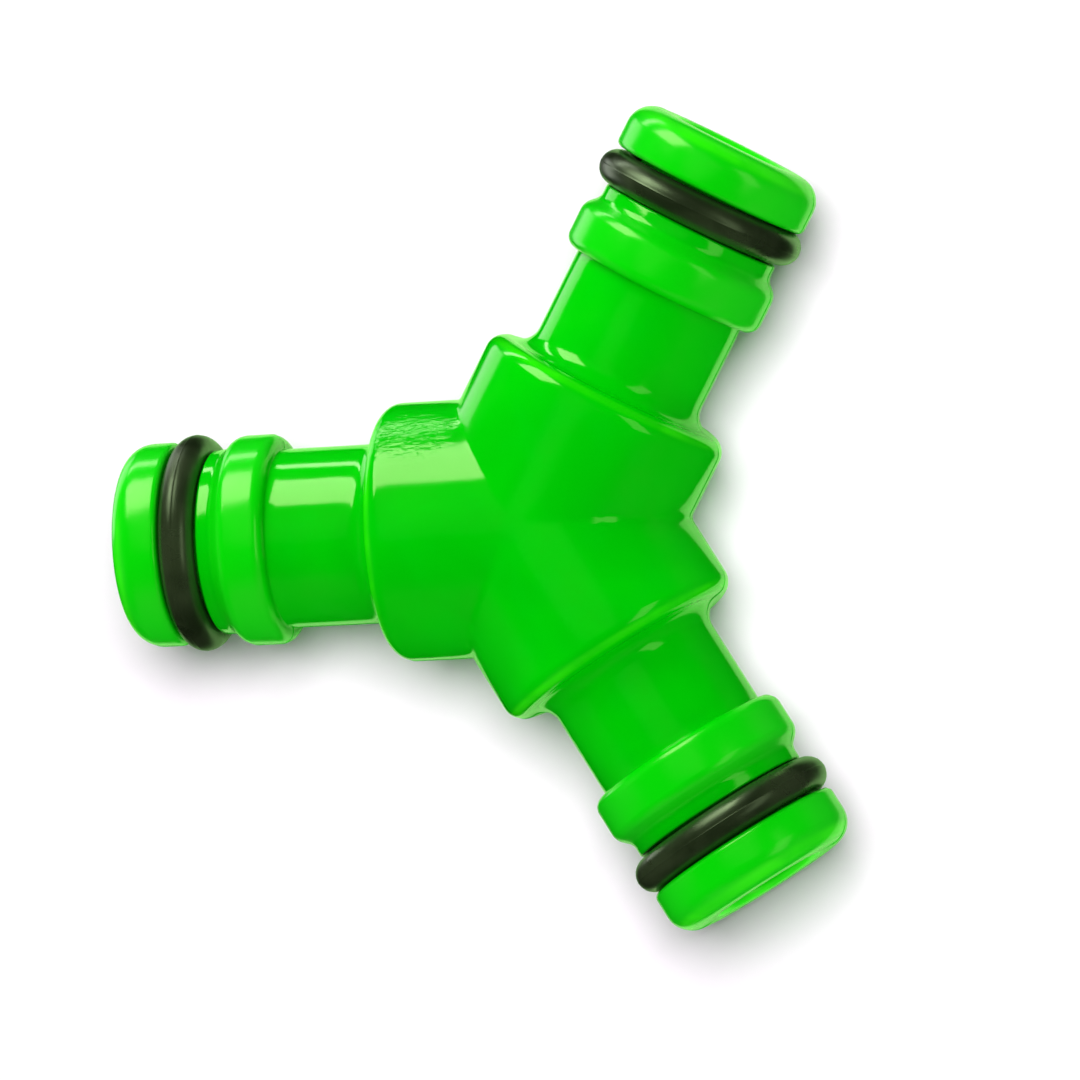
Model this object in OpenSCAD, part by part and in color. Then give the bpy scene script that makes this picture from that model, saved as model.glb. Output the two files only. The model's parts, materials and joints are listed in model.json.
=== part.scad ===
// Three-way click-on hose coupler: one moulded body with three hollow spigots at 120 degrees,
// and one rubber O-ring in the groove near the end of each spigot.
// Origin: where the three bore axes cross. +Z is square to the plane of the three arms.
// The inlet arm points along -X, the two outlet arms at +60 and -60 degrees from +X.
// All lengths are millimetres. Positions along an arm are measured from the origin.

/* [Hub] */

// Outside diameter of the three hub barrels
hub_d = 21.2; // [20.2:0.1:22.6]

// Distance from the centre to the shoulder face of each arm
shoulder_at = 12.7; // [12.4:0.1:14]

// Radius on the outer edge of the shoulder
shoulder_round = 1.5; // [0.4:0.1:1.5]

// Radius of the hollow fillet between shoulder face and neck
root_fillet = 1.7; // [0.5:0.1:1.7]

/* [Spigot] */

// Diameter of the neck that the click socket's claws close round
neck_d = 14.7; // [14.3:0.1:15.1]

// Distance from the centre to the rear face of the collar
collar_rear_at = 21.6; // [20.6:0.1:22.2]

// Outside diameter of the collar
collar_d = 17.3; // [16.9:0.1:17.6]

// Radius on the rear edge of the collar
collar_rear_round = 1; // [0.3:0.1:1.2]

// Distance from the centre to the foot of the collar's front ramp
ramp_foot_at = 26.2; // [25.8:0.1:26.6]

// Length of the collar's front ramp along the arm
ramp_len = 1.05; // [0.7:0.05:1.2]

// Diameter of the land between the ramp and the O-ring groove
land_d = 15.2; // [14.8:0.1:15.6]

/* [Nose] */

// Diameter of the nose flange in front of the O-ring
nose_d = 16.8; // [16.4:0.1:17.1]

// Distance from the centre to the end face of each spigot
tip_at = 34.8; // [34.2:0.1:36]

// Radius on the front edge of the nose
nose_round = 2.1; // [1:0.1:2.4]

// Radius on the nose flange's edge beside the groove
nose_rear_round = 0.5; // [0.1:0.1:0.7]

/* [Waterway] */

// Diameter of the bore through each arm
bore_d = 9.2; // [8:0.1:9.4]

// Radius on the edge of each bore mouth
mouth_round = 0.6; // [0.2:0.1:0.9]

/* [O-ring] */

// Thickness of the O-ring's round section
ring_section_d = 2.9; // [2.7:0.05:3]

// Distance from the centre to the middle of the O-ring
ring_at = 29; // [28.95:0.05:29.05]

// Width of the groove that holds the O-ring
groove_w = 3.2; // [3.2:0.1:3.4]

// Diameter of the groove floor, which is also the fitted O-ring's inside diameter
groove_floor_d = 12.1; // [11.9:0.1:12.3]

/* [Hidden] */

$fn = 64;
arm_angles = [180, 60, -60];
hub_r = hub_d / 2;
neck_r = neck_d / 2;
collar_r = collar_d / 2;
land_r = land_d / 2;
nose_r = nose_d / 2;
bore_r = bore_d / 2;
groove_floor_r = groove_floor_d / 2;
ring_section_r = ring_section_d / 2;
ring_mid_r = groove_floor_r + ring_section_r;
groove_rear_at = ring_at - groove_w / 2;
groove_front_at = ring_at + groove_w / 2;
// The collar's front corner is blended: the tangent arc starts this far back from the corner.
ramp_head_at = ramp_foot_at - ramp_len;
ramp_rise = collar_r - land_r;
ramp_slope = sqrt(ramp_len * ramp_len + ramp_rise * ramp_rise);
ramp_angle = atan2(ramp_rise, ramp_len);
front_round = 1.2;
blend = front_round * tan(ramp_angle / 2);
eps = 0.01;
// Each turned arm runs this far back past the centre before its mitre is cut.
back = 3;

// A bar of the arm's turned section: from a start to an end along the arm, out to a radius.
module bar(from, to, r) {
    translate([0, from]) square([r, to - from]);
}

// A bar whose outer corner at its far end is rounded.
module bar_far_round(from, to, r, q) {
    bar(from, to - q, r);
    bar(from, to, r - q);
    translate([r - q, to - q]) circle(q);
}

// A bar whose outer corner at its near end is rounded.
module bar_near_round(from, to, r, q) {
    bar(from + q, to, r);
    bar(from, to, r - q);
    translate([r - q, from + q]) circle(q);
}

// The hollow fillet where the neck leaves the shoulder face.
module root() {
    translate([neck_r - eps, shoulder_at - eps]) difference() {
        square(root_fillet + eps);
        translate([root_fillet + eps, root_fillet + eps]) circle(root_fillet);
    }
}

// The collar: rounded rear edge, plain band, blended corner and straight front ramp.
module collar() {
    bar_near_round(collar_rear_at, ramp_head_at - blend, collar_r, collar_rear_round);
    polygon([
        [0, collar_rear_at + 1],
        [collar_r, collar_rear_at + 1],
        [collar_r, ramp_head_at - blend],
        [collar_r - blend * ramp_rise / ramp_slope, ramp_head_at + blend * ramp_len / ramp_slope],
        [land_r, ramp_foot_at],
        [0, ramp_foot_at]
    ]);
    translate([collar_r - front_round, ramp_head_at - blend]) circle(front_round);
}

// The nose flange: small radius beside the groove, large radius at the end face.
module nose() {
    bar_near_round(groove_front_at, tip_at - nose_round, nose_r, nose_rear_round);
    bar_far_round(groove_front_at + nose_rear_round, tip_at, nose_r, nose_round);
}

// Half of the turned outside of one arm, from just past the hub's centre to the end face.
module arm_section() {
    bar_far_round(-back, shoulder_at, hub_r, shoulder_round);
    root();
    bar(0, collar_rear_at + 1, neck_r);
    collar();
    bar(ramp_foot_at - 1, groove_rear_at, land_r);
    bar(groove_rear_at - 1, groove_front_at + 1, groove_floor_r);
    nose();
}

// Half of the turned waterway of one arm, with the rounded edge of its mouth.
module bore_section() {
    bar(-back - 1, tip_at + 1, bore_r);
    translate([0, tip_at - mouth_round]) difference() {
        square([bore_r + mouth_round, mouth_round + 1]);
        translate([bore_r + mouth_round, 0]) circle(mouth_round);
    }
}

// Lays something that stands along +Z down along one of the arms.
module along(angle) {
    rotate([0, 0, angle]) rotate([0, 90, 0]) children();
}

// The third of space round one arm: the mitre planes at 60 degrees on both sides of +X.
module mitre() {
    linear_extrude(hub_d * 2, center = true)
        polygon([[0, 0], [tip_at * 2, -tip_at * 2 * tan(60)], [tip_at * 2, tip_at * 2 * tan(60)]]);
}

// One hollow arm along +X, cut back to its mitre planes.
module arm() {
    intersection() {
        along(0) rotate_extrude() difference() {
            arm_section();
            bore_section();
        }
        mitre();
    }
}

module moulded_body() {
    color([0.02, 0.72, 0.05]) for (a = arm_angles) rotate([0, 0, a]) arm();
}

module o_ring() {
    color([0.08, 0.1, 0.06]) translate([0, 0, ring_at]) rotate_extrude()
        translate([ring_mid_r, 0]) circle(ring_section_r);
}

module o_ring_inlet() {
    along(180) o_ring();
}

module o_ring_outlet_left() {
    along(60) o_ring();
}

module o_ring_outlet_right() {
    along(-60) o_ring();
}

moulded_body();
o_ring_inlet();
o_ring_outlet_left();
o_ring_outlet_right();
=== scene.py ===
# %% [markdown]
# # A three-way click-on hose coupler
#
# The object is a small green plastic splitter for garden hoses: one glossy moulding with three
# hollow spigots at 120 degrees, and a black rubber O-ring near the end of each spigot. The
# frame is loaded first. It gives the nodes, their places and the box that the finished looks have
# to stay in.

# %% Load the frame
import json
import math

import bmesh
import bpy
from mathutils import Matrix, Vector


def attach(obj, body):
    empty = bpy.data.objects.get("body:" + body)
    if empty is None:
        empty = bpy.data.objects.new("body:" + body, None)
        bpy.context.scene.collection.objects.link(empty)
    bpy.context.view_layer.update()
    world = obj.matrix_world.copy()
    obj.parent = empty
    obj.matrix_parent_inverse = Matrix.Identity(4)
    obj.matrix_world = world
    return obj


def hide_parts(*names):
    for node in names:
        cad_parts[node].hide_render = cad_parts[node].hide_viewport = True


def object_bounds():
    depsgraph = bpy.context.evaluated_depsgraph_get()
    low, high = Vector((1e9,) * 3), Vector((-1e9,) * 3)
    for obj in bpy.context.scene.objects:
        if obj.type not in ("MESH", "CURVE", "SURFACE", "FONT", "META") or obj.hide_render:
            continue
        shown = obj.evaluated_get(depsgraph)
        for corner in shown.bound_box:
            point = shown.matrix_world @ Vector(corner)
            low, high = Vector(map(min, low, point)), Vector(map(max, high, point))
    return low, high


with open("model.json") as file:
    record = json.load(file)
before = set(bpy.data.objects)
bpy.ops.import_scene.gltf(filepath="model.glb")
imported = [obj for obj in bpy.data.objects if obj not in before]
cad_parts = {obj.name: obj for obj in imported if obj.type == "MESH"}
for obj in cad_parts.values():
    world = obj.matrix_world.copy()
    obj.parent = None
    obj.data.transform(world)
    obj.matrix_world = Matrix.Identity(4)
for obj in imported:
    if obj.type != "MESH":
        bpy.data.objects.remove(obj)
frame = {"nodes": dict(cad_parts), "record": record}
cad_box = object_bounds()
mm = 0.001
mounts = {m["name"]: m for m in frame["record"]["mounts"]}
print("nodes:", sorted(frame["nodes"]))
print("CAD box in metres:", cad_box)

# %% [markdown]
# ## The numbers of the turned section
#
# All three arms share one section, as if each were turned on a lathe. The bore and nose radii
# come from the record's own mounts. The other lengths repeat the frame's driving dimensions:
# distances along an arm are counted from the point where the three axes cross.

# %% Name the sizes
arm_angles = [180, 60, -60]
bore_r = mounts["inlet_waterway"]["dims"]["r_mm"] * mm
nose_r = mounts["inlet_nose"]["dims"]["r_mm"] * mm
tip_at = -cad_box[0][0]
hub_r = cad_box[1][2]
shoulder_at = 12.7 * mm
neck_r = 7.35 * mm
collar_from, collar_to, collar_r = 21.6 * mm, 25.15 * mm, 8.65 * mm
ramp_to, land_r = 26.2 * mm, 7.6 * mm
groove_from, groove_to, floor_r = 27.4 * mm, 30.6 * mm, 6.05 * mm
ring_at, ring_thick = 29.0 * mm, 2.9 * mm
print("bore", bore_r, "nose", nose_r, "reach", tip_at, "hub", hub_r)

# %% [markdown]
# ## Hands for the modelling
#
# Every operator in Blender works on what is selected, and a scene that was just loaded has
# everything selected. These few helpers do what the mouse would: pick one piece, enter edit
# mode, and pick corners, edges or faces by where they are.

# %% Small helpers for selecting
def only(piece):
    """Make one piece the selected and active object."""
    if bpy.context.mode != "OBJECT":
        bpy.ops.object.mode_set(mode="OBJECT")
    bpy.ops.object.select_all(action="DESELECT")
    piece.select_set(True)
    bpy.context.view_layer.objects.active = piece
    return piece


def shape(piece):
    """Enter edit mode on one piece with nothing selected."""
    only(piece)
    bpy.ops.object.mode_set(mode="EDIT")
    bpy.ops.mesh.select_mode(type="VERT")
    bpy.ops.mesh.select_all(action="DESELECT")


def pick(piece, kind, test):
    """Select the verts, edges or faces for which the test is true, and say how many."""
    mode = {"verts": "VERT", "edges": "EDGE", "faces": "FACE"}[kind]
    bpy.ops.mesh.select_mode(type=mode)
    bpy.ops.mesh.select_all(action="DESELECT")
    bm = bmesh.from_edit_mesh(piece.data)
    found = [part for part in getattr(bm, kind) if test(part)]
    for part in found:
        part.select_set(True)
    bm.select_flush_mode()
    bmesh.update_edit_mesh(piece.data)
    return len(found)


def finish(piece, body="root", smooth=32):
    """Leave edit mode, smooth the shading and hang the piece on its body."""
    only(piece)
    bpy.ops.object.shade_smooth_by_angle(angle=math.radians(smooth))
    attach(piece, body)
    sides = sum(len(p.vertices) - 2 for p in piece.data.polygons)
    print(piece.name, "is finished with", sides, "triangles")
    return piece


# %% [markdown]
# ## Drawing the section of an arm
#
# A turned part is easiest to draw as half of its section and then spin. A small plane is
# added, its four corners are merged to one, and that corner is extruded from point to point, as
# a pen would go: out along the hub barrel, down the shoulder, along the neck, over the collar
# and its ramp, through the O-ring groove, round the nose and back down the bore.

# %% Draw the sharp section
def pen(name, start, steps):
    """A wire that starts at one point and is extruded to each next point. x is along the arm."""
    bpy.ops.object.select_all(action="DESELECT")
    bpy.ops.mesh.primitive_plane_add(size=mm, location=(0, 0, 0))
    piece = bpy.context.object
    piece.name = name
    shape(piece)
    bpy.ops.mesh.select_all(action="SELECT")
    bpy.ops.mesh.merge(type="CENTER")
    bpy.ops.transform.translate(value=(start[0], 0, start[1]))
    here = start
    for there in steps:
        move = (there[0] - here[0], 0, there[1] - here[1])
        bpy.ops.mesh.extrude_region_move(TRANSFORM_OT_translate={"value": move})
        here = there
    return piece


# each arm is drawn this far past the centre, and its mitres cut it back later
back = -4 * mm
corners = [
    # along, out, radius of the corner, pieces in its arc
    (shoulder_at, hub_r, 1.5 * mm, 10),
    (shoulder_at, neck_r, 1.7 * mm, 10),
    (collar_from, neck_r, 0.15 * mm, 2),
    (collar_from, collar_r, 1.0 * mm, 8),
    (collar_to, collar_r, 1.2 * mm, 6),
    (ramp_to, land_r, 0.9 * mm, 4),
    (groove_from, land_r, 0.18 * mm, 3),
    (groove_from, floor_r, 0.2 * mm, 2),
    (groove_to, floor_r, 0.2 * mm, 2),
    (groove_to, nose_r, 0.5 * mm, 5),
    (tip_at, nose_r, 2.1 * mm, 14),
    (tip_at, bore_r, 0.6 * mm, 6),
]
arm = pen("arm", (back, hub_r), [c[:2] for c in corners] + [(back, bore_r)])
print("section drawn with", len(corners), "corners")

# %% [markdown]
# ## Rounding the corners
#
# A moulded part has no sharp corners, and on this one the radii are most of its looks. Each
# corner of the wire is picked on its own and bevelled, with the offset that gives the wanted
# radius for the angle at which the two lines meet. The long straight runs are then divided, so
# that the spun faces stay close to square.

# %% Round the section and divide its long runs
def near(point, reach=1e-6):
    """A test for a corner at one place of the section."""
    return lambda v: abs(v.co.x - point[0]) < reach and abs(v.co.z - point[1]) < reach


def tangent_length(before, corner, after, radius):
    """How far from a corner its arc starts, for a given radius."""
    a = math.atan2(corner[1] - before[1], corner[0] - before[0])
    b = math.atan2(after[1] - corner[1], after[0] - corner[0])
    turn = abs((b - a + math.pi) % (2 * math.pi) - math.pi)
    return radius * math.tan(turn / 2)


stops = [(back, hub_r)] + [c[:2] for c in corners] + [(back, bore_r)]
for i, (x, r, radius, pieces) in enumerate(corners, start=1):
    shape(arm)
    pick(arm, "verts", near((x, r)))
    start = tangent_length(stops[i - 1], stops[i], stops[i + 1], radius)
    bpy.ops.mesh.bevel(offset=start, segments=pieces, profile=0.5, affect="VERTICES")

longest = 0.9 * mm
for cuts in (15, 7, 3, 1):
    shape(arm)
    pick(arm, "edges", lambda e: e.calc_length() > longest * (cuts + 1) * 0.75)
    if any(e.select for e in bmesh.from_edit_mesh(arm.data).edges):
        bpy.ops.mesh.subdivide(number_cuts=cuts)
print("section now has", len(bmesh.from_edit_mesh(arm.data).verts), "points")

# %% [markdown]
# ## Spinning one arm and cutting its mitres
#
# The section is spun once round the arm's axis. Where three such arms meet, each is cut by two
# upright planes at 60 degrees to its axis, like the mitre of a picture frame. A boolean could
# join three whole arms, but it leaves uneven triangles along the creases. Bisecting keeps the
# clean quads, and three copies then meet corner to corner. Three more cuts beside each mitre
# leave rows of corners there, from which the crease gets its hollow later.

# %% Spin and mitre the arm
round_steps = 144
shape(arm)
bpy.ops.mesh.select_all(action="SELECT")
bpy.ops.mesh.spin(steps=round_steps, angle=2 * math.pi, center=(0, 0, 0), axis=(1, 0, 0))
bpy.ops.mesh.select_all(action="SELECT")
bpy.ops.mesh.remove_doubles(threshold=0.002 * mm)
for side in (1, -1):
    normal = (math.sin(math.radians(60)), -side * math.cos(math.radians(60)), 0)
    for depth in (0.8 * mm, 0.55 * mm, 0.3 * mm, 0.0):
        bpy.ops.mesh.select_all(action="SELECT")
        bpy.ops.mesh.bisect(
            plane_co=[depth * n for n in normal],
            plane_no=normal,
            clear_inner=depth == 0.0,
            threshold=1e-7,
        )
bpy.ops.object.mode_set(mode="OBJECT")
print("one arm has", len(arm.data.polygons), "faces")

# %% [markdown]
# ## Three arms make the moulding
#
# The arm is copied twice, each copy is turned to its place and the turn is applied to its mesh.
# After joining, the corners along the mitres lie on each other and are merged, which closes the
# skin. Only then are the normals recalculated, so that they point out of the plastic.

# %% Join three arms
arms = []
for angle in arm_angles:
    only(arm)
    bpy.ops.object.duplicate()
    copy = bpy.context.object
    copy.rotation_euler = (0, 0, math.radians(angle))
    bpy.ops.object.transform_apply(rotation=True)
    arms.append(copy)
only(arm)
bpy.ops.object.delete()
body = only(arms[0])
for other in arms[1:]:
    other.select_set(True)
bpy.ops.object.join()
body.name = "moulded_body_skin"
shape(body)
bpy.ops.mesh.select_all(action="SELECT")
bpy.ops.mesh.remove_doubles(threshold=0.004 * mm)
bpy.ops.mesh.select_all(action="SELECT")
bpy.ops.mesh.normals_make_consistent(inside=False)
open_edges = pick(body, "edges", lambda e: len(e.link_faces) != 2)
print("moulding joined,", open_edges, "open edges")

# %% [markdown]
# ## Softening the creases of the hub
#
# The barrels meet in three creases. In the mould these are milled edges, so the plastic shows a
# narrow hollow and not a knife edge. A bevel would be held back by the shortest edge beside the
# crease. The rows of corners along the mitres are smoothed instead, outside and in the bores.

# %% Smooth the rows along the mitres
def beside_mitre(reach):
    """A test for corners that lie that close to one of the three upright mitre planes."""

    def test(vert):
        for angle in (120, 0, -120):
            c, s = math.cos(math.radians(angle)), math.sin(math.radians(angle))
            ahead = vert.co.x * c + vert.co.y * s
            across = vert.co.y * c - vert.co.x * s
            if abs(across) < reach and -reach < ahead < hub_r * 1.2:
                return True
        return False

    return test


creases = pick(body, "verts", beside_mitre(0.6 * mm))
bpy.ops.mesh.vertices_smooth(factor=0.5, repeat=4)
print("creases:", creases, "corners smoothed")

# %% [markdown]
# ## The parting line
#
# The mould closes on the plane of the three axes, and its two halves never meet perfectly. All
# round the outside runs a fine line where the lower half sits a few hundredths of a millimetre
# off. A line painted in the material would vanish at the outline, so it is cut into the mesh: two
# cuts a hair apart, the rim between them drawn out as a trace of flash, and everything below
# moved sideways. The bores are made by sliding cores, so their walls are left alone.

# %% Cut the parting line and shift the lower half
line_half = 0.03 * mm
flash = 0.025 * mm
shift = (0.03 * mm, -0.035 * mm, 0)
mouth_margin = 0.75 * mm


def arm_place(point):
    """Distance along the nearest arm, and distance out from its axis."""
    along = max(
        point.x * math.cos(math.radians(a)) + point.y * math.sin(math.radians(a))
        for a in arm_angles
    )
    return along, math.sqrt(max(point.length_squared - along * along, 0.0))


def outside(vert):
    """True for a corner on the outer skin, false for the bore and its mouth."""
    along, out = arm_place(vert.co)
    return out > bore_r + mouth_margin


shape(body)
for height in (line_half, -line_half):
    bpy.ops.mesh.select_all(action="SELECT")
    bpy.ops.mesh.bisect(plane_co=(0, 0, height), plane_no=(0, 0, 1), threshold=1e-7)
on_line = pick(body, "verts", lambda v: abs(v.co.z) < line_half * 1.1 and outside(v))
bpy.ops.transform.shrink_fatten(value=flash)
pick(body, "verts", lambda v: v.co.z < -line_half * 0.9 and outside(v))
bpy.ops.transform.translate(value=shift)
print("parting line:", on_line, "corners on the line")

# %% Finish the moulding
bpy.ops.object.mode_set(mode="OBJECT")
finish(body)
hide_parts("moulded_body")

# %% [markdown]
# ## The O-rings
#
# An O-ring is pressed in a two-part mould that opens along its axis, so a hair of flash runs
# round its largest and its smallest circle. A torus primitive has no such line. A circle is drawn
# instead, cut twice on either side of its middle, the strip between is pushed out, and the
# section is then spun round the arm. No ring sits perfectly square in its groove, and each gets a
# slight lean of its own, less than the play of the groove.

# %% Spin the three O-rings
ring_out = floor_r + ring_thick / 2
ring_lean = {
    # the way the ring leans, about its arm's own two cross axes, in degrees
    "o_ring_inlet": (0.5, -0.3),
    "o_ring_outlet_left": (-0.35, 0.45),
    "o_ring_outlet_right": (0.3, 0.5),
}


def make_ring(node, angle, lean):
    """One O-ring of round section with fine flash, in its groove on the arm at that angle."""
    bpy.ops.object.select_all(action="DESELECT")
    bpy.ops.mesh.primitive_circle_add(
        vertices=56,
        radius=ring_thick / 2,
        location=(0, 0, ring_out),
        rotation=(math.radians(90), 0, 0),
    )
    ring = bpy.context.object
    ring.name = node + "_rubber"
    bpy.ops.object.transform_apply(location=True, rotation=True)
    shape(ring)
    for x in (0.05 * mm, -0.05 * mm):
        bpy.ops.mesh.select_all(action="SELECT")
        bpy.ops.mesh.bisect(plane_co=(x, 0, 0), plane_no=(1, 0, 0), threshold=1e-7)
    for side, push in ((1, 0.02 * mm), (-1, -0.02 * mm)):
        pick(ring, "verts", lambda v: abs(v.co.x) < 0.03 * mm and (v.co.z - ring_out) * side > 0)
        bpy.ops.transform.translate(value=(0, 0, push))
    bpy.ops.mesh.select_all(action="SELECT")
    bpy.ops.mesh.spin(steps=192, angle=2 * math.pi, center=(0, 0, 0), axis=(1, 0, 0))
    bpy.ops.mesh.select_all(action="SELECT")
    bpy.ops.mesh.remove_doubles(threshold=0.002 * mm)
    bpy.ops.mesh.normals_make_consistent(inside=False)
    bpy.ops.object.mode_set(mode="OBJECT")
    ring.rotation_euler = (0, math.radians(lean[0]), math.radians(lean[1]))
    bpy.ops.object.transform_apply(rotation=True)
    turn = math.radians(angle)
    ring.rotation_euler = (0, 0, turn)
    ring.location = (ring_at * math.cos(turn), ring_at * math.sin(turn), 0)
    bpy.ops.object.transform_apply(location=True, rotation=True)
    finish(ring)
    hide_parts(node)
    return ring


rings = [
    make_ring(node, angle, lean) for angle, (node, lean) in zip(arm_angles, ring_lean.items())
]

# %% [markdown]
# ## Writing a material as an expression
#
# A procedural material is a chain of small nodes, and wiring them one by one hides the idea. A
# `Wire` stands for one output socket. Python's own operators add Math nodes, so a mask can be
# written the way it is thought, and `add` makes every other node.

# %% A socket that does arithmetic
class Wire:
    """One output of a node. Operators add Math nodes, and add() makes any other node."""

    def __init__(self, tree, socket=None):
        self.tree, self.socket = tree, socket

    def add(self, kind, settings=(), plugs=(), out=0):
        """Add a node: its settings first, then the value or the link of each named socket."""
        node = self.tree.nodes.new(kind)
        for name, value in dict(settings).items():
            setattr(node, name, value)
        for name, value in dict(plugs).items():
            if isinstance(value, Wire):
                self.tree.links.new(value.socket, node.inputs[name])
            else:
                node.inputs[name].default_value = value
        return Wire(self.tree, node.outputs[out]) if node.outputs else node

    def math(self, operation, *others):
        """A Math node on this value and up to two more."""
        return self.add(
            "ShaderNodeMath",
            {"operation": operation},
            dict(enumerate((self, *others))),
        )

    def __add__(self, other):
        return self.math("ADD", other)

    def __sub__(self, other):
        return self.math("SUBTRACT", other)

    def __rsub__(self, other):
        return Wire(self.tree).add(
            "ShaderNodeMath", {"operation": "SUBTRACT"}, {0: other, 1: self}
        )

    def __mul__(self, other):
        return self.math("MULTIPLY", other)

    def __truediv__(self, other):
        return self.math("DIVIDE", other)

    __radd__ = __add__
    __rmul__ = __mul__

    def ramp(self, start, end):
        """0 before start, 1 after end, with a soft S between them."""
        return self.add(
            "ShaderNodeMapRange",
            {"interpolation_type": "SMOOTHSTEP"},
            {"Value": self, "From Min": start, "From Max": end, "To Min": 0.0, "To Max": 1.0},
        )

    def noise(self, size, detail=2.0, warp=0.0, seed=0.0):
        """Noise whose lumps are about that size in metres. The wire is the place to read."""
        moved = self.add("ShaderNodeVectorMath", {"operation": "ADD"}, {0: self, 1: (seed,) * 3})
        return self.add(
            "ShaderNodeTexNoise",
            {},
            {"Vector": moved, "Scale": 0.5 / size, "Detail": detail, "Distortion": warp},
        )

    def blend(self, first, second):
        """Two colours mixed by this value."""
        return self.add(
            "ShaderNodeMix",
            {"data_type": "RGBA"},
            {0: self, 6: first, 7: second},
            out=2,
        )


def new_material(name):
    """A material with an empty tree, a Wire to start from and its surface shader."""
    material = bpy.data.materials.new(name)
    material.use_nodes = True
    tree = material.node_tree
    tree.nodes.clear()
    start = Wire(tree)
    shader = tree.nodes.new("ShaderNodeBsdfPrincipled")
    output = tree.nodes.new("ShaderNodeOutputMaterial")
    tree.links.new(shader.outputs[0], output.inputs["Surface"])
    return material, start, shader


def plug(shader, name, value):
    """Give one socket of a shader a fixed value or a Wire."""
    if isinstance(value, Wire):
        value.tree.links.new(value.socket, shader.inputs[name])
    else:
        shader.inputs[name].default_value = value


print("ready to write materials")

# %% [markdown]
# ## Glossy green plastic
#
# The moulding is injection-moulded plastic with the pigment mixed through it. It is glossy but
# never a perfect mirror: the skin has slow waves where it shrank, a fine orange peel, and one
# rubbed patch on the inlet barrel. Collars and noses are a little paler and rougher. Rounded
# edges are painted a brighter yellow green in patches, a painted glow that stands in for light
# caught along them. Light that passes through the thin wall is not traced. A faint green emission
# inside the mouths stands in for it. All of it is read from Object coordinates, so it stays put on
# the plastic from every side.

# %% The body's plastic
rubbed_at = (-9 * mm, 8.1 * mm, 6.8 * mm)


def plastic():
    """Pigmented glossy plastic, with painted edge glow, shrink waves and orange peel."""
    material, start, shader = new_material("green_plastic")
    place = start.add("ShaderNodeTexCoord", out="Object")
    along = None
    for angle in arm_angles:
        direction = (math.cos(math.radians(angle)), math.sin(math.radians(angle)), 0)
        reach = place.add(
            "ShaderNodeVectorMath", {"operation": "DOT_PRODUCT"}, {0: place, 1: direction}, out="Value"
        )
        along = reach if along is None else along.math("MAXIMUM", reach)
    far = place.add("ShaderNodeVectorMath", {"operation": "LENGTH"}, {0: place}, out="Value")
    out = (far * far - along * along).math("MAXIMUM", 0.0).math("SQRT")

    def ring_mask(at, radius, wide):
        """1 on the circle at that place along every arm, 0 past the given width."""
        a, b = along - at, out - radius
        return 1 - (a * a + b * b).math("SQRT").ramp(wide * 0.25, wide)

    # painted edge glow: the rounded shoulder, nose and mouth edges are painted a brighter yellow green
    # the middle of a rounded edge lies in from its sharp corner by 0.29 of the radius
    edge = ring_mask(shoulder_at - 0.44 * mm, hub_r - 0.44 * mm, 0.6 * mm)
    for corner in (
        (tip_at - 0.6 * mm, nose_r - 0.6 * mm, 0.9 * mm),
        (tip_at - 0.2 * mm, bore_r + 0.2 * mm, 0.6 * mm),
    ):
        edge = edge.math("MAXIMUM", ring_mask(*corner))
    collar = along.ramp(collar_from - 0.1 * mm, collar_from + 0.3 * mm)
    collar = collar * (1 - along.ramp(ramp_to - 0.2 * mm, ramp_to + 0.2 * mm))
    nose = along.ramp(groove_to - 0.2 * mm, groove_to)
    swirl = place.noise(7 * mm, 3.0, 0.6)
    cloud = place.noise(1.6 * mm, 2.0, 0.0, 0.11)
    green = swirl.ramp(0.3, 0.7).blend((0.0, 0.45, 0.001, 1), (0.0, 0.52, 0.001, 1))
    green = (cloud.ramp(0.45, 0.75) * 0.25).blend(green, (0.0, 0.49, 0.004, 1))
    thin = (collar + nose) * 0.5
    green = thin.blend(green, (0.002, 0.64, 0.002, 1))
    # patches where the painted edge glow is stronger
    glow_patches = place.noise(2.5 * mm, 2.0, 0.4, 0.83).ramp(0.4, 0.65)
    plug(shader, "Base Color", (edge * (0.16 + glow_patches * 0.26)).blend(green, (0.04, 0.92, 0.002, 1)))
    inner = 1 - out.ramp(bore_r + 0.1 * mm, bore_r + 0.6 * mm)
    inner = inner * along.ramp(tip_at - 9 * mm, tip_at - 1 * mm)
    plug(shader, "Emission Color", inner.blend((0.0, 0.0, 0.0, 1), (0.002, 0.18, 0.001, 1)))
    plug(shader, "Emission Strength", 1.0)
    smudge = place.noise(4 * mm, 4.0, 1.2, 0.37).ramp(0.5, 0.75)
    plug(shader, "Roughness", 0.11 + smudge * 0.05 + (collar + nose) * 0.09)
    waves = place.noise(3.2 * mm, 1.0, 0.0, 0.05)
    peel = place.noise(0.45 * mm, 2.0, 0.0, 0.21)
    patch = place.noise(6 * mm, 2.0, 0.5, 0.71).ramp(0.45, 0.65)
    # a rubbed patch on the upper flank of the inlet barrel, with its marks along the arm
    away = place.add(
        "ShaderNodeVectorMath", {"operation": "DISTANCE"}, {0: place, 1: rubbed_at}, out="Value"
    )
    long_marks = place.add(
        "ShaderNodeVectorMath", {"operation": "MULTIPLY"}, {0: place, 1: (0.45, 1.0, 1.0)}
    )
    rubbed = (1 - away.ramp(2.5 * mm, 5 * mm)) * long_marks.noise(0.22 * mm, 3.0, 0.3)
    height = waves * 12 + peel * (0.6 + patch * 1.4) + rubbed * 20
    bump = height.add(
        "ShaderNodeBump", {}, {"Strength": 1.0, "Distance": 0.004 * mm, "Height": height}
    )
    plug(shader, "Normal", bump)
    plug(shader, "IOR", 1.49)
    plug(shader, "Specular Tint", (1.0, 1.0, 0.55, 1))
    return material


green_plastic = plastic()
body.data.materials.clear()
body.data.materials.append(green_plastic)
print("plastic has", len(green_plastic.node_tree.nodes), "nodes")
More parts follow.
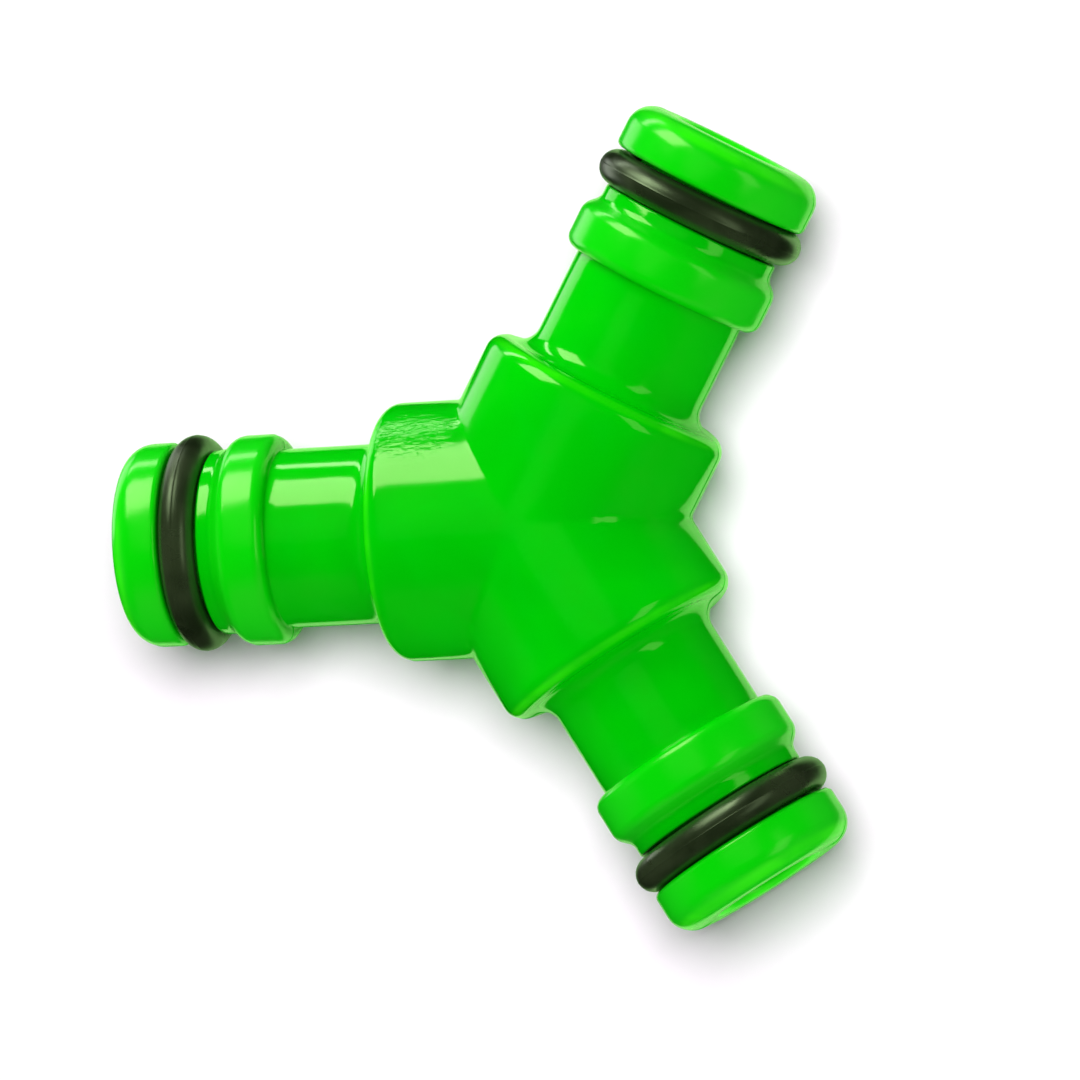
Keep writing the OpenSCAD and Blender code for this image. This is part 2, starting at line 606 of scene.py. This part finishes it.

# %% [markdown]
# ## O-ring rubber
#
# Nitrile rubber is a soft black, and its colour here is painted with a green cast that stands in
# for the green light bounced onto it by the moulding. It comes slightly frosted out of its mould,
# it is wiped with silicone grease in use, and it holds on to dust. The greased patches are
# glossier, and the dust shows as pale specks a tenth of a millimetre wide.

# %% The rings' rubber
def rubber():
    """Black rubber with a painted green cast of bounce light, grease, moulding grain and dust specks.
    """
    material, start, shader = new_material("ring_rubber")
    place = start.add("ShaderNodeTexCoord", out="Object")
    tone = place.noise(2.5 * mm, 3.0, 0.4).ramp(0.35, 0.7)
    # the green cast of both blacks is painted bounce light from the moulding
    black = tone.blend((0.007, 0.013, 0.004, 1), (0.02, 0.031, 0.012, 1))
    cells = place.add(
        "ShaderNodeTexVoronoi", {"feature": "F1"}, {"Vector": place, "Scale": 0.5 / (0.35 * mm)}
    )
    dusty = place.noise(1.7 * mm, 2.0, 0.0, 0.53).ramp(0.5, 0.62)
    dust = (1 - cells.ramp(0.02, 0.1)) * dusty
    plug(shader, "Base Color", (dust * 0.45).blend(black, (0.12, 0.17, 0.08, 1)))
    grease = place.noise(3 * mm, 3.0, 0.8, 0.3).ramp(0.4, 0.65)
    plug(shader, "Roughness", 0.38 - grease * 0.12 + dust * 0.2)
    grain = place.noise(0.12 * mm, 3.0)
    lumps = place.noise(1.3 * mm, 2.0, 0.0, 0.4)
    height = lumps * 6 + grain + dust * 2
    bump = height.add(
        "ShaderNodeBump", {}, {"Strength": 1.0, "Distance": 0.003 * mm, "Height": height}
    )
    plug(shader, "Normal", bump)
    plug(shader, "IOR", 1.6)
    plug(shader, "Specular Tint", (0.72, 1.0, 0.5, 1))
    plug(shader, "Specular IOR Level", 0.7)
    return material


ring_rubber = rubber()
for ring in rings:
    ring.data.materials.clear()
    ring.data.materials.append(ring_rubber)
print("rubber has", len(ring_rubber.node_tree.nodes), "nodes")

# %% [markdown]
# ## Floor
#
# The coupler lies on a plain white sheet, which is two pieces. A card cut to a Y lies right
# under it, a few millimetres wider than the barrels and a centimetre longer than the arms, and a
# wide floor goes on from its edge. Only
# the card is allowed to show in the gloss, so the outlines of the arms get a thin bright line
# and not a broad grey band, as they would on a small lit table in a dim room. Two more things are
# staged: the white is tinted near the coupler against the green that bounces off it, and in the
# gloss the card is pale green.

# %% Lay the floor
floor_z = cad_box[0][2] - 0.02 * mm
card_half, card_reach, floor_half = 15 * mm, 45 * mm, 3.0


def white_sheet(name):
    """Matt white paper with a trace of tooth, tinted magenta near the coupler against its green bounce
    light, and painted pale green where reflections see it.
    """
    material, start, shader = new_material(name)
    place = start.add("ShaderNodeTexCoord", out="Object")
    tooth = place.noise(0.6 * mm, 3.0)
    # the magenta tint near the coupler is painted against the green light that bounces onto the sheet
    white = tooth.blend((0.94, 0.85, 0.94, 1), (0.96, 0.87, 0.96, 1))
    far = place.add("ShaderNodeVectorMath", {"operation": "LENGTH"}, {0: place}, out="Value")
    white = far.ramp(35 * mm, 80 * mm).blend(white, (0.9, 0.9, 0.9, 1))
    # painted reflection: seen in the gloss the sheet is pale green, which tints the rims of the
    # plastic
    in_gloss = start.add("ShaderNodeLightPath", out="Is Glossy Ray")
    plug(shader, "Base Color", in_gloss.blend(white, (0.5, 0.95, 0.35, 1)))
    plug(shader, "Roughness", 0.9)
    plug(shader, "Specular IOR Level", 0.0)
    return material


card_outline = []
for angle in sorted(arm_angles):
    turn = math.radians(angle)
    inner = card_half / math.sin(math.radians(60))
    for x, y in (
        (card_reach, -card_half),
        (card_reach, card_half),
        (inner * math.cos(math.radians(60)), inner * math.sin(math.radians(60))),
    ):
        card_outline.append(
            (x * math.cos(turn) - y * math.sin(turn), x * math.sin(turn) + y * math.cos(turn))
        )
card = pen("white_card", card_outline[0], card_outline[1:])
bpy.ops.mesh.select_all(action="SELECT")
bpy.ops.mesh.edge_face_add()
bpy.ops.mesh.select_all(action="SELECT")
bpy.ops.mesh.bevel(offset=6 * mm, segments=6, affect="VERTICES")
bpy.ops.object.mode_set(mode="OBJECT")
card.rotation_euler = (math.radians(-90), 0, 0)
card.location = (0, 0, floor_z)
bpy.ops.object.transform_apply(location=True, rotation=True)
bpy.ops.object.duplicate()
wide = bpy.context.object
wide.name = "wide_floor"
shape(wide)
bpy.ops.mesh.select_all(action="SELECT")
bpy.ops.mesh.delete(type="ONLY_FACE")
bpy.ops.mesh.select_all(action="SELECT")
bpy.ops.mesh.extrude_edges_move()
growth = floor_half / card_reach
bpy.ops.transform.resize(value=(growth, growth, 1), center_override=(0, 0, 0))
bpy.ops.object.mode_set(mode="OBJECT")
sheet = white_sheet("floor_white")
for piece in (card, wide):
    piece.data.materials.append(sheet)
wide.visible_glossy = False
print("floor at", floor_z, "with", len(wide.data.polygons), "faces round the card")

# %% [markdown]
# ## Camera
#
# The camera stands half a metre above the coupler and a little to its right, with a long lens,
# so that the arms keep their proportions and their tips just show their mouths.

# %% Place the camera
camera_data = bpy.data.cameras.new("camera")
camera_data.lens = 209.6
camera_data.clip_start = 0.01
camera = bpy.data.objects.new("camera", camera_data)
camera.location = (0.1199, -0.0068, 0.5003)
camera.rotation_euler = [math.radians(a) for a in (-0.07, 13.52, -2.95)]
bpy.context.collection.objects.link(camera)
bpy.context.scene.camera = camera
print("camera at", tuple(camera.location))

# %% [markdown]
# ## Light
#
# Glossy plastic is lit by what it mirrors. A large softbox on the upper left draws the bright
# band along the inlet arm, and a box on the right puts the short glints at the roots of the
# outlets. A strip and a panel stand below the level of the floor. Reflections don't see the wide
# floor, so they reach through it to these two, which draw the thin streak beside the inlet's band
# and the soft band on the left outlet's flank. The overhead light and the three fills light the
# plastic but are kept out of its reflections. All of these reach only the coupler, and the floor
# has a light of its own.

# %% Build the lights
def softbox(name, azimuth, elevation, distance, size, radiance, mirrored=True, only_for=()):
    """An area light seen from the object in that direction, aimed at it. size is (wide, high)."""
    data = bpy.data.lights.new(name, "AREA")
    data.shape = "RECTANGLE"
    data.size, data.size_y = size
    data.energy = radiance * math.pi * size[0] * size[1]
    light = bpy.data.objects.new(name, data)
    a, e = math.radians(azimuth), math.radians(elevation)
    light.location = [
        distance * c for c in (math.cos(a) * math.cos(e), math.sin(a) * math.cos(e), math.sin(e))
    ]
    light.rotation_euler = light.location.to_track_quat("Z", "Y").to_euler()
    light.visible_glossy = mirrored
    light.visible_camera = False
    bpy.context.collection.objects.link(light)
    if only_for:
        lit = bpy.data.collections.new(name + "_lights")
        for piece in only_for:
            lit.objects.link(piece)
        light.light_linking.receiver_collection = lit
    return light


coupler = [body, *rings]
softbox("window", 118, 27.5, 0.35, (0.2, 0.222), 6.5, only_for=coupler)
softbox("low_strip", 118, -14, 0.3, (0.16, 0.035), 6.0, only_for=coupler)
softbox("low_panel", 156, -27, 0.3, (0.2, 0.15), 1.5, only_for=coupler)
softbox("side_box", 0, 38, 0.4, (0.27, 0.13), 1.3, only_for=coupler)
softbox("overhead", 100, 72, 0.8, (0.6, 0.6), 4.0, mirrored=False, only_for=coupler)
softbox("low_fill", -78, 20, 0.5, (0.8, 0.4), 1.7, mirrored=False, only_for=coupler)
softbox("left_fill", 185, 14, 0.5, (0.4, 0.25), 2.4, mirrored=False, only_for=coupler)
softbox("right_fill", -20, 10, 0.5, (0.4, 0.25), 1.3, mirrored=False, only_for=coupler)
softbox("floor_top", 52, 77, 0.8, (0.42, 0.42), 14.8, mirrored=False, only_for=[card, wide])
world = bpy.data.worlds.new("room")
world.use_nodes = True
world.node_tree.nodes["Background"].inputs["Color"].default_value = (1, 1, 1, 1)
world.node_tree.nodes["Background"].inputs["Strength"].default_value = 0.12
world.cycles_visibility.glossy = False
bpy.context.scene.world = world
bpy.context.scene.view_settings.view_transform = "Standard"
